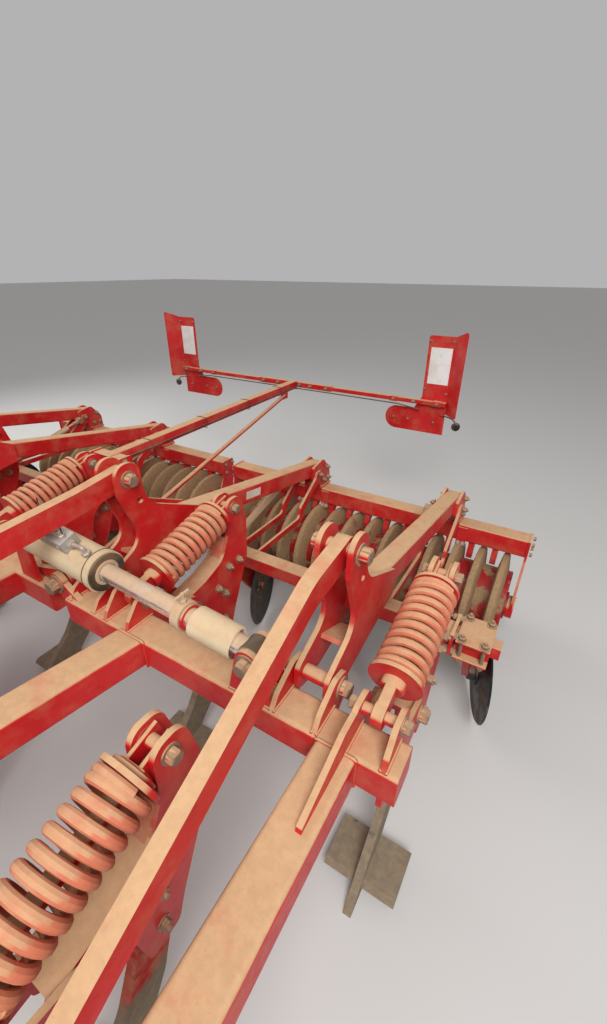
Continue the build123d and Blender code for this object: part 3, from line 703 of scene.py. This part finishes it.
def leg_bolts(form, x, y):
    both_faces(form, x, LEVER_FACE, y, LEVER_BOLTS, sizes().bolt)
    both_faces(form, x, EAR_FACE, y, [LEG_PIVOT.yz], 0.040, thread=0)
    both_faces(form, x, EAR_FACE, y, [SPRING_FOOT.yz], 0.032, thread=0)
    both_faces(form, x, LEVER_FACE, y, [SPRING_HEAD.yz], 0.032, thread=0)


def clamp_bolts(form):
    """The long bolts around the sliding end of the disc beam, and the bolts of its flange."""
    across = 0.026
    for x, inward in zip(SLIDE_CLAMP, (0.022, -0.022)):
        for back in (-0.072, 0.072):
            top = Vector((x + inward, DISC_BEAM.y + back, DISC_BEAM.z + 0.047))
            low = top - UP * 0.094
            form.bolt(top, UP, across)
            form.bolt(low, -UP, across)
            form.round_bar(low, top, 0.008, 12)
    for back in (-0.058, 0.058):
        for height in (-0.042, 0.042):
            form.bolt(DISC_BEAM + Vector((1.807, back, height)), RIGHT, across)
            form.bolt(DISC_BEAM + Vector((1.793, back, height)), -RIGHT, across)


def wing_bolts(form):
    size = sizes()
    for x, pin_y, pin_z in TOWERS:
        both_faces(form, x, TOWER_FACE, REAR_Y, [TOWER_PIN], size.big_bolt, thread=0)
        both_faces(form, x, PIVOT_FACE, REAR_Y, [TOWER_PIVOT], size.big_bolt, thread=0)
        both_faces(form, x, 0.039, FRONT_Y, [(pin_y, pin_z)], size.big_bolt, thread=0)
        both_faces(form, x, TOWER_FACE, REAR_Y, TOWER_BOLTS, size.bolt)
        both_faces(form, x, 0.0755, REAR_Y, [ARM_BOLT], size.bolt)
    for y in (REAR_Y, FRONT_Y):
        lengthways_nuts(form, Vector((HINGE.x, y, HINGE.z)), 0.039, 0.048)
    lengthways_nuts(form, CYLINDER_HEAD, 0.0453, 0.042)
    clamp_bolts(form)
    low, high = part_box("roller_frame_right")
    for x, way in ((low.x, -1), (high.x, 1)):
        for height in (0.585, 0.645):
            for back in (-0.035, 0.035):
                form.bolt(Vector((x, ROLLER_BEAM.y + back, height)), RIGHT * way, 0.018, thread=0)


def centre_bolts(form):
    for way in (-1, 1):
        foot = Vector((way * CYLINDER_FOOT.x, REAR_Y, CYLINDER_FOOT.z))
        lengthways_nuts(form, foot, 0.0453, 0.048)
        for back, height in LIGHT_ARM_BOLTS:
            form.bolt(Vector((way * 0.116, REAR_Y + back, height)), RIGHT * way, 0.022)


class SUBSOILER_OT_bolts(bpy.types.Operator):
    """Sets the nuts, bolts and washers of the legs, towers, hinges and clamps"""

    bl_idname = "subsoiler.bolts"
    bl_label = "Bolts and nuts"

    def execute(self, context):
        for body, legs in LEG_GROUPS:
            form = at_legs(leg_bolts, legs)
            if body == "centre":
                centre_bolts(form)
            else:
                wing_bolts(form)
            piece(form, named(body, "bolts"), body, "dusty nuts", sharp=30)
        return {"FINISHED"}


# Directions across the cylinder: up, up but turned to the front, and along the valve's width
CYLINDER_UP = Vector((-CYLINDER_RUN.z, 0, CYLINDER_RUN.x))
VALVE_UP = Vector((-CYLINDER_RUN.z * 0.94, -0.34, CYLINDER_RUN.x * 0.94)).normalized()
VALVE_ASIDE = VALVE_UP.cross(CYLINDER_RUN).normalized()
BARREL_RADIUS = 0.063
BARREL_END = 0.418

# The valve's two blocks: start and length along the barrel, heights over it, half width
VALVE_BLOCKS = ((0.165, 0.140, 0.0, 0.048, 0.030), (0.175, 0.056, 0.048, 0.082, 0.024))


def beside(distance, up=0.0, back=0.0):
    """A point beside the cylinder's axis, so far from the pin at its foot."""
    return CYLINDER_FOOT + CYLINDER_RUN * distance + CYLINDER_UP * up + BACK * back


def over(distance, up, aside=0.0):
    """A point over the barrel's skin where the valve stands, so far from the pin at its foot."""
    return beside(distance) + VALVE_UP * (BARREL_RADIUS + up) + VALVE_ASIDE * aside


def valve(name, body):
    form = Form()
    for start, length, low, high, half in VALVE_BLOCKS:
        form.plate(over(start, 0), VALVE_UP, VALVE_ASIDE, (low, high), (-half, half), CYLINDER_RUN * length)
    piece(form, f"valve_block_{name}", body, "grey alloy", bevel=0.003)
    form = Form()
    for distance, up in ((0.188, 0.082), (0.217, 0.082), (0.255, 0.048), (0.286, 0.048)):
        form.bolt(over(distance, up), VALVE_UP, 0.022, washer=False, thread=0)
        form.turned(over(distance, up + 0.013), VALVE_UP, ((0, 0.0065), (0.012, 0.0055)), 14)
    stopper = ((-0.001, 0.0095), (0.0015, 0.0095), (0.0016, 0.006), (-0.003, 0.005))
    for distance in (0.190, 0.235, 0.280):
        for way in (-1, 1):
            form.turned(over(distance, 0.026, way * 0.030), VALVE_ASIDE * way, stopper, 16)
    form.bolt(over(0.305, 0.026), CYLINDER_RUN, 0.027, washer=False, thread=0.7)
    form.bolt(over(0.165, 0.026), -CYLINDER_RUN, 0.027, washer=False, thread=0.5)
    form.bolt(over(0.374, 0.002), VALVE_UP, 0.027, washer=False, thread=0)
    piece(form, f"valve_fittings_{name}", body, "plated steel")
    form = Form()
    pipe = ((0.316, 0.026), (0.350, 0.030), (0.374, 0.040), (0.374, 0.012))
    form.tube(bent([over(*place) for place in pipe], 0.006), 0.0065, 12)
    piece(form, f"cylinder_pipe_{name}", body, "plated steel")


def gland(name, body):
    form = Form()
    joint = ((0, 0.0685), (0.0005, 0.0712), (0.004, 0.0712), (0.0045, 0.0685))
    form.turned(beside(BARREL_END - 0.0285), CYLINDER_RUN, joint, 48, hollow=True)
    face = ((-0.001, 0.044), (-0.001, 0.066), (0.005, 0.066), (0.0065, 0.064), (0.0045, 0.044))
    form.turned(beside(BARREL_END), CYLINDER_RUN, face, 40, hollow=True)
    piece(form, f"cylinder_gland_{name}", body, "old grease")
    form = Form()
    wiper = ((-0.001, 0.0315), (-0.001, 0.0435), (0.0055, 0.0435), (0.0072, 0.0415), (0.0072, 0.0315))
    form.turned(beside(BARREL_END), CYLINDER_RUN, wiper, 32, hollow=True)
    piece(form, f"cylinder_wiper_{name}", body, "dusty tube")


def valve_wire(name, body):
    form = Form()
    loop = (
        (0.180, 0.078, 0.020), (0.155, 0.120, 0.045), (0.200, 0.160, 0.040),
        (0.275, 0.140, 0.020), (0.294, 0.090, 0.010), (0.290, 0.046, 0.0),
    )
    form.tube(bent([over(*place) for place in loop], 0.008), 0.0022, 8)
    piece(form, f"valve_wire_{name}", body, "black paint")


def rod_fittings(name, body):
    span = (CYLINDER_HEAD - CYLINDER_FOOT).length
    form = Form()
    collar = ((0, 0.044), (0.002, 0.0465), (0.029, 0.0465), (0.031, 0.044))
    form.turned(beside(span - 0.2755), CYLINDER_RUN, collar, 40)
    form.bolt(beside(span - 0.260, 0.046), CYLINDER_UP, 0.022, washer=False, thread=0.9)
    lug = ((-0.004, 0, -0.020), (0.004, 0, -0.020), (0.004, 0.012, -0.030), (-0.004, 0.012, -0.030))
    form.slab([beside(span - 0.260 + along, 0.066 + up, back) for along, up, back in lug], BACK * 0.055)
    piece(form, f"rod_collar_{name}", body, "dusty tube", bevel=0.001)
    form = Form()
    sleeve = ((0, 0.044), (0.002, 0.0475), (0.146, 0.0475), (0.149, 0.044))
    form.turned(beside(span - 0.2095), CYLINDER_RUN, sleeve, 40)
    piece(form, f"rod_sleeve_{name}", body, "cream paint")
    form = Form()
    ring = ((0, 0.0295), (0.0005, 0.040), (0.008, 0.040), (0.0085, 0.0295))
    for start in (0.243, 0.2135):
        form.turned(beside(span - start), CYLINDER_RUN, ring, 32, hollow=True)
    piece(form, f"rod_rings_{name}", body, "red paint")
    form = Form()
    eye = ((0, 0.0405), (0.002, 0.0432), (0.0584, 0.0432), (0.0604, 0.0405))
    form.turned(CYLINDER_HEAD - BACK * 0.0302, BACK, eye, 40)
    piece(form, f"rod_eye_{name}", body, "old grease")


class SUBSOILER_OT_cylinders(bpy.types.Operator):
    """Adds the fold cylinders' valve blocks, pipes, glands and stop collars"""

    bl_idname = "subsoiler.cylinders"
    bl_label = "Fold cylinders"

    def execute(self, context):
        for name in SIDES:
            for parts in (valve, gland, valve_wire):
                parts(name, f"barrel_{name}")
            rod_fittings(name, f"rod_{name}")
        return {"FINISHED"}


DISC_RADIUS = 0.23
DISC_DISH = 0.022
DISC_THICKNESS = 0.006


def disc_blade(form, centre, axle):
    radii = (0.0185, 0.05, 0.1, 0.15, 0.2, 0.223)
    outside = [(0.003 - DISC_DISH * (1 - (radius / DISC_RADIUS) ** 2), radius) for radius in radii]
    inside = [(along - DISC_THICKNESS, radius) for along, radius in reversed(outside)]
    edge = [(0.0025, 0.2295), (0.0015, 0.2295), (-0.002, 0.224)]
    form.turned(centre, axle, outside + edge + inside, 72, hollow=True)


def disc_hub(form, centre, axle):
    cup = (
        (-0.0225, 0.0185), (-0.0225, 0.064), (-0.029, 0.064), (-0.030, 0.045),
        (-0.058, 0.0425), (-0.060, 0.0405), (-0.060, 0.0185),
    )
    form.turned(centre, axle, cup, 40, hollow=True)
    form.turned(centre - axle * 0.019, axle, ((0, 0.036), (0.010, 0.036), (0.013, 0.033)), 32)
    first, second = side_vectors(axle)
    for at in circle(centre - axle * 0.0175, first, second, 0.052, 5):
        form.bolt(at, axle, 0.017, washer=False, thread=0)


def adjusters(name, body):
    """A round tube beside each tower, with a fork at its foot, an eye at its head and a spring clip."""
    foot, head = Vector((0, 0.860, 0.620)), Vector((0, 1.450, 0.775))
    run = (head - foot).normalized()
    cheek = ((-0.018, -0.014), (0.035, -0.016), (0.035, 0.016), (-0.018, 0.014))
    clip = [(0, 0, -0.030), (0, 0.004, 0.015), (0.006, 0.022, 0.026)]
    clip += [(0.004, 0.030, 0.004), (0.002, 0.018, -0.016)]
    tubes, forks = Form(), Form()
    for x, _, _ in TOWERS:
        base = Vector((x - 0.0905, REAR_Y, 0))
        fork, eye = base + foot, base + head
        low, high = fork + run * 0.10, eye - run * 0.14
        tubes.round_bar(low, high, 0.0205, 24)
        for at, way in ((low, -1), (high, 1)):
            tubes.bolt(at - run * way * 0.001, run * way, 0.034, washer=False, thread=0)
        for at, way in ((fork, 1), (eye, -1)):
            forks.round_bar(at + run * way * 0.018, at + run * way * 0.07, 0.0165, 20)
        for way in (-1, 1):
            face = fork + Vector((way * 0.0115 - 0.003, 0, 0))
            forks.slab([face + run * along + run.cross(RIGHT) * up for along, up in cheek], RIGHT * 0.006)
        forks.round_bar(eye - RIGHT * 0.019, eye + RIGHT * 0.019, 0.024, 24)
        side = fork + Vector((0.026, 0.002, 0))
        forks.tube(bent([side + Vector(place) for place in clip], 0.004), 0.0018, 8)
    piece(tubes, f"adjuster_tubes_{name}", body, "dusty tube")
    piece(forks, f"adjuster_forks_{name}", body, "dusty nuts", bevel=0.001)


class SUBSOILER_OT_discs(bpy.types.Operator):
    """Presses the levelling discs and adds their hubs and screw adjusters"""

    bl_idname = "subsoiler.discs"
    bl_label = "Levelling discs"

    def execute(self, context):
        for name in SIDES:
            for number in (1, 2, 3):
                centre = joint_place(f"disc_spin_{number}_right")
                axle = joint_axis(f"disc_spin_{number}_right")
                body = f"disc_{number}_{name}"
                form = Form()
                disc_blade(form, centre, axle)
                disc = piece(form, f"disc_blade_{number}_{name}", body, "disc steel", sharp=40)
                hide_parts(f"disc_{number}_{name}")
                form = Form()
                disc_hub(form, centre, axle)
                piece(form, f"disc_hub_{number}_{name}", body, "black paint", sharp=35)
            adjusters(name, f"wing_{name}")
        return {"FINISHED"}


# Screws in a light board's face by x and height, those along its foot by x, and the bar's bolts by x
FACE_SCREWS = ((1.075, 1.465), (1.225, 1.465), (1.075, 1.145), (1.225, 1.125), (1.090, 1.040), (1.210, 1.040))
FOOT_SCREWS = (0.865, 0.975, 1.165)
INNER_BOLTS = (0.055, 0.155, 0.300)
OUTER_BOLTS = (0.860, 1.010, 1.180)


def board_screws(form):
    for x, z in FACE_SCREWS:
        form.bolt(Vector((x, BOARD_FACE, z)), -BACK, 0.012, thread=0.4)
    for x in FOOT_SCREWS:
        form.bolt(Vector((x, BOARD_FACE, 0.915)), -BACK, 0.014, thread=0.6)
    for places, face in ((INNER_BOLTS, -0.020), (OUTER_BOLTS, -0.015)):
        for x in places:
            form.bolt(LIGHT_BAR + Vector((x, face, 0)), -BACK, 0.019, thread=0.8)


def light_board(name):
    form = Form()
    face = Vector((0, BOARD_FACE + 0.0002, 0))
    form.plate(face, RIGHT, UP, (1.082, 1.226), (1.185, 1.425), BACK * -0.0014)
    piece(form, f"board_reflector_{name}", "centre", "white reflector")
    form = Form()
    board_screws(form)
    piece(form, f"board_screws_{name}", "centre", "dusty nuts", sharp=30)
    form = Form()
    for start, end, half in ((0.035, 0.345, 0.020), (0.830, 0.890, 0.018), (1.150, 1.210, 0.018)):
        at = LIGHT_BAR + RIGHT * start
        form.plate(at, BACK, UP, (-half, half), (-half, half), RIGHT * (end - start))
    piece(form, f"bar_sockets_{name}", "centre", "red paint", bevel=0.002)
    form = Form()
    stalk = ((1.205, 0.004, 0.975), (1.262, 0.010, 0.974), (1.310, 0.016, 0.960), (1.326, 0.018, 0.935))
    form.tube(bent([Vector((x, BOARD_FACE - ahead, z)) for x, ahead, z in stalk], 0.008), 0.0045, 10)
    lamp = ((-0.012, 0.010), (-0.011, 0.029), (0.004, 0.030), (0.010, 0.024), (0.013, 0.012))
    form.turned(Vector((1.330, BOARD_FACE - 0.018, 0.915)), -BACK, lamp, 28)
    piece(form, f"marker_lamp_{name}", "centre", "black paint")


def light_cable():
    """The cable on the arm's right face, which runs out to both boards behind the bar, and its ties."""
    form = Form()
    arm = ((0.0345, 0.66, 1.010), (0.0345, 1.20, 1.020), (0.0345, 1.80, 1.032), (0.0345, 2.36, 1.042))
    bar = ((0.060, 2.440, 1.028), (0.30, 2.448, 1.026), (0.90, 2.450, 1.024), (1.06, 2.462, 1.000))
    left = [(-x, y, z) for x, y, z in bar]
    for line in ((*arm, *bar), ((-0.0345, 2.30, 1.041), *left)):
        points = [Vector((x, REAR_Y + y, z)) for x, y, z in line]
        form.tube(resampled(points, 0.05), 0.0045, 8)
    corners = [(a * 0.0325, b * 0.0325) for a, b in ((-1, -1), (1.25, -1), (1.25, 1), (-1, 1), (-1, -1))]
    for back in (0.90, 1.35, 1.80, 2.20):
        height = 1.0203 + (back - 0.63) * 0.019
        tie = [Vector((across, REAR_Y + back, height + up)) for across, up in corners]
        form.tube(resampled(tie, 0.02), 0.0022, 6)
    piece(form, "light_cable", "centre", "black paint")


class SUBSOILER_OT_lights(bpy.types.Operator):
    """Adds the light boards' reflectors, screws and lamps, and the bar's sockets and cable"""

    bl_idname = "subsoiler.lights"
    bl_label = "Light boards"

    def execute(self, context):
        for name in SIDES:
            light_board(name)
        light_cable()
        return {"FINISHED"}


def rail_joint(form, x, y, way, seed):
    """A bead over the top and both sides of a rail's end, where it meets a beam's face."""
    face = y + way * (BEAM_HALF + 0.001)
    outline = (
        (-BEAM_HALF, 0.765), (-BEAM_HALF, BEAM_TOP - 0.004), (0.006 - BEAM_HALF, BEAM_TOP + 0.001),
        (BEAM_HALF - 0.006, BEAM_TOP + 0.001), (BEAM_HALF, BEAM_TOP - 0.004), (BEAM_HALF, 0.765),
    )
    form.weld([Vector((x + across, face, z)) for across, z in outline], 0.0055, seed)


def plate_foot(form, x, start, end, seed):
    """Beads along both sides of an upright plate's foot on a beam."""
    for way in (-1, 1):
        at = x + way * 0.0075
        form.weld([Vector((at, start, BEAM_TOP)), Vector((at, end, BEAM_TOP))], 0.005, seed + way)


def wing_welds(form):
    for k, (rear_x, front_x) in enumerate(RAIL_ENDS):
        rail_joint(form, rear_x, REAR_Y, -1, 10 + k)
        rail_joint(form, front_x, FRONT_Y, 1, 20 + k)
    for x, y in WING_LEGS:
        for way in (-1, 1):
            plate_foot(form, x + way * 0.0515, y - 0.052, y + 0.052, 31)
    for x, pin_y, _ in TOWERS:
        for way in (-1, 1):
            plate_foot(form, x + way * 0.0645, REAR_Y - 0.050, REAR_Y + 0.052, 41)
            if not pin_y:
                plate_foot(form, x + way * 0.0315, FRONT_Y - 0.052, FRONT_Y + 0.052, 47)
    for ear in (-0.0378, 0.0378):
        for way in (-1, 1):
            y = REAR_Y + ear + way * 0.0075
            path = [Vector((CYLINDER_HEAD.x + end, y, BEAM_TOP)) for end in (-0.07, 0.07)]
            form.weld(path, 0.005, 60 + way)


def scraper_bolts(form):
    low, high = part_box("roller_right")
    for step in range(16):
        x = (low.x + high.x) / 2 + (step - 7.5) * 0.125
        if 0.105 < x < 1.925:
            form.bolt(Vector((x, ROLLER_BEAM.y + 0.006, 0.528)), Vector((0, 0.80, -0.60)), 0.020)


def saddles(name, body):
    """The brackets and straps that hold the roller's beam on its arms, with their bolts."""
    plates, bolts = Form(), Form()
    for x, _, _ in TOWERS:
        for way in (-1, 1):
            face = Vector((x + way * 0.085, ROLLER_BEAM.y - 0.050, 0.612))
            plates.plate(face, RIGHT, UP, (-0.026, 0.026), (-0.075, 0.040), BACK * -0.008)
            for across in (-0.013, 0.013):
                bolts.bolt(face + Vector((across, -0.008, -0.058)), -BACK, 0.019)
        top = Vector((x, ROLLER_BEAM.y, 0.6775))
        plates.plate(top, RIGHT, BACK, (-0.062, 0.062), (-0.058, -0.046), UP * 0.007)
    piece(plates, f"saddle_brackets_{name}", body, "red paint", bevel=0.0015)
    piece(bolts, f"saddle_bolts_{name}", body, "plated steel", sharp=30)


def linch_pins(form):
    for way in (-1, 1):
        at = Vector((way * 0.460, FRONT_Y - 0.330, 0.500))
        turns = [math.tau * k / 20 for k in range(19)]
        ring = [at + Vector((0, 0.030 * math.sin(t), 0.030 * math.cos(t) + 0.012)) for t in turns]
        form.tube(ring, 0.0022, 8)
        form.round_bar(at - UP * 0.026, at + UP * 0.044, 0.0045, 12)


class SUBSOILER_OT_trim(bpy.types.Operator):
    """Adds weld beads, the bare label plates, scraper bolts and hitch clips"""

    bl_idname = "subsoiler.trim"
    bl_label = "Welds and trim"

    def execute(self, context):
        for name in SIDES:
            body = f"wing_{name}"
            form = Form()
            wing_welds(form)
            piece(form, f"wing_welds_{name}", body, "red paint", sharp=60)
            form = Form()
            start = Vector((0.7384, REAR_Y + 0.840, 0.9215))
            along, up = Vector((0, 0.985, -0.1706)), Vector((0, 0.1706, 0.985))
            form.plate(start, along, up, (0, 0.115), (-0.020, 0.020), RIGHT * 0.0010)
            piece(form, f"label_plate_{name}", body, "label ground")
            form = Form()
            scraper_bolts(form)
            piece(form, f"scraper_bolts_{name}", body, "dusty nuts", sharp=30)
            saddles(name, body)
        form = Form()
        linch_pins(form)
        piece(form, "linch_pins", "centre", "plated steel")
        return {"FINISHED"}


# The camera stands over the right wing's front and looks back to the left
CAMERA_PLACE = Vector((1.963, REAR_Y - 0.666, 1.898))
CAMERA_TURN = 30.9
CAMERA_DROP = 29.0
CAMERA_ROLL = 0.2
CAMERA_LENS = 15.57

# Each lamp's power in watts, size, place and the point it shines at
LAMPS = {
    "key": (330, 3.0, (3.5, -3.5, 5.0), (0.8, 0.2, 0.4)),
    "fill": (140, 4.0, (-4.5, 1.0, 4.0), (0.0, 0.2, 0.5)),
}

# The floor throws less light up at the machine than its pale colour would
FLOOR_BOUNCE = (0.30, 0.275, 0.25)
FLOOR_REACH = 60.0


def add_floor(scene):
    mesh = bpy.data.meshes.new("floor")
    corners = ((-1, -1), (1, -1), (1, 1), (-1, 1))
    mesh.from_pydata([(x * FLOOR_REACH, y * FLOOR_REACH, 0) for x, y in corners], [], [(0, 1, 2, 3)])
    floor = bpy.data.objects.new("floor", mesh)
    scene.collection.objects.link(floor)
    material, tree, shader = bare_material("floor")
    ray = tree.nodes.new("ShaderNodeLightPath").outputs
    seen = maths(tree, "MAXIMUM", ray["Is Camera Ray"], ray["Is Glossy Ray"])
    seen = maths(tree, "MAXIMUM", seen, ray["Is Transmission Ray"])
    tree.links.new(mixed(tree, seen, FLOOR_BOUNCE, colours().floor), shader.inputs["Base Color"])
    shader.inputs["Roughness"].default_value = 0.9
    mesh.materials.append(material)


def add_lights(scene):
    world = bpy.data.worlds.new("pale room")
    scene.world = world
    world.use_nodes = True
    back = world.node_tree.nodes["Background"]
    back.inputs["Color"].default_value = (0.60, 0.60, 0.61, 1)
    back.inputs["Strength"].default_value = 0.75
    for name, (energy, size, place, aim) in LAMPS.items():
        lamp = bpy.data.lights.new(name, "AREA")
        lamp.energy = energy
        lamp.size = size
        lit = bpy.data.objects.new(name, lamp)
        lit.location = place
        lit.rotation_euler = (Vector(aim) - Vector(place)).to_track_quat("-Z", "Y").to_euler()
        scene.collection.objects.link(lit)


def add_camera(scene):
    data = bpy.data.cameras.new("camera")
    data.lens = CAMERA_LENS
    data.sensor_width = 36
    data.clip_start = 0.02
    camera = bpy.data.objects.new("camera", data)
    camera.location = CAMERA_PLACE
    turn, drop = math.radians(CAMERA_TURN), math.radians(CAMERA_DROP)
    ahead = Vector((-math.sin(turn) * math.cos(drop), math.cos(turn) * math.cos(drop), -math.sin(drop)))
    camera.rotation_mode = "QUATERNION"
    level = ahead.to_track_quat("-Z", "Y")
    camera.rotation_quaternion = level @ Euler((0, 0, math.radians(CAMERA_ROLL))).to_quaternion()
    scene.collection.objects.link(camera)
    scene.camera = camera


class SUBSOILER_OT_stage(bpy.types.Operator):
    """Sets the floor, the lamps and the camera"""

    bl_idname = "subsoiler.stage"
    bl_label = "Stage"

    def execute(self, context):
        add_floor(context.scene)
        add_lights(context.scene)
        add_camera(context.scene)
        context.scene.view_settings.view_transform = "Standard"
        return {"FINISHED"}


OPERATORS = (
    SUBSOILER_OT_finishes,
    SUBSOILER_OT_springs,
    SUBSOILER_OT_rollers,
    SUBSOILER_OT_bolts,
    SUBSOILER_OT_cylinders,
    SUBSOILER_OT_discs,
    SUBSOILER_OT_lights,
    SUBSOILER_OT_trim,
    SUBSOILER_OT_stage,
)


class SUBSOILER_PT_panel(bpy.types.Panel):
    """Lists the sizes, the colours and the steps that dress the subsoiler"""

    bl_label = "Subsoiler"
    bl_idname = "SUBSOILER_PT_panel"
    bl_space_type = "VIEW_3D"
    bl_region_type = "UI"
    bl_category = "Subsoiler"

    def draw(self, context):
        for group in (context.scene.subsoiler_sizes, context.scene.subsoiler_colours):
            box = self.layout.box()
            for name in group.__annotations__:
                box.prop(group, name)
        for operator in OPERATORS:
            self.layout.operator(operator.bl_idname)


CLASSES = (SUBSOILER_PG_colours, SUBSOILER_PG_sizes, *OPERATORS, SUBSOILER_PT_panel)


def register():
    for item in CLASSES:
        bpy.utils.register_class(item)
    bpy.types.Scene.subsoiler_colours = PointerProperty(type=SUBSOILER_PG_colours)
    bpy.types.Scene.subsoiler_sizes = PointerProperty(type=SUBSOILER_PG_sizes)


def unregister():
    del bpy.types.Scene.subsoiler_colours
    del bpy.types.Scene.subsoiler_sizes
    for item in reversed(CLASSES):
        bpy.utils.unregister_class(item)


def main():
    register()
    bpy.ops.subsoiler.finishes()
    bpy.ops.subsoiler.springs()
    bpy.ops.subsoiler.rollers()
    bpy.ops.subsoiler.bolts()
    bpy.ops.subsoiler.cylinders()
    bpy.ops.subsoiler.discs()
    bpy.ops.subsoiler.lights()
    bpy.ops.subsoiler.trim()
    bpy.ops.subsoiler.stage()


if __name__ == "__main__":
    main()
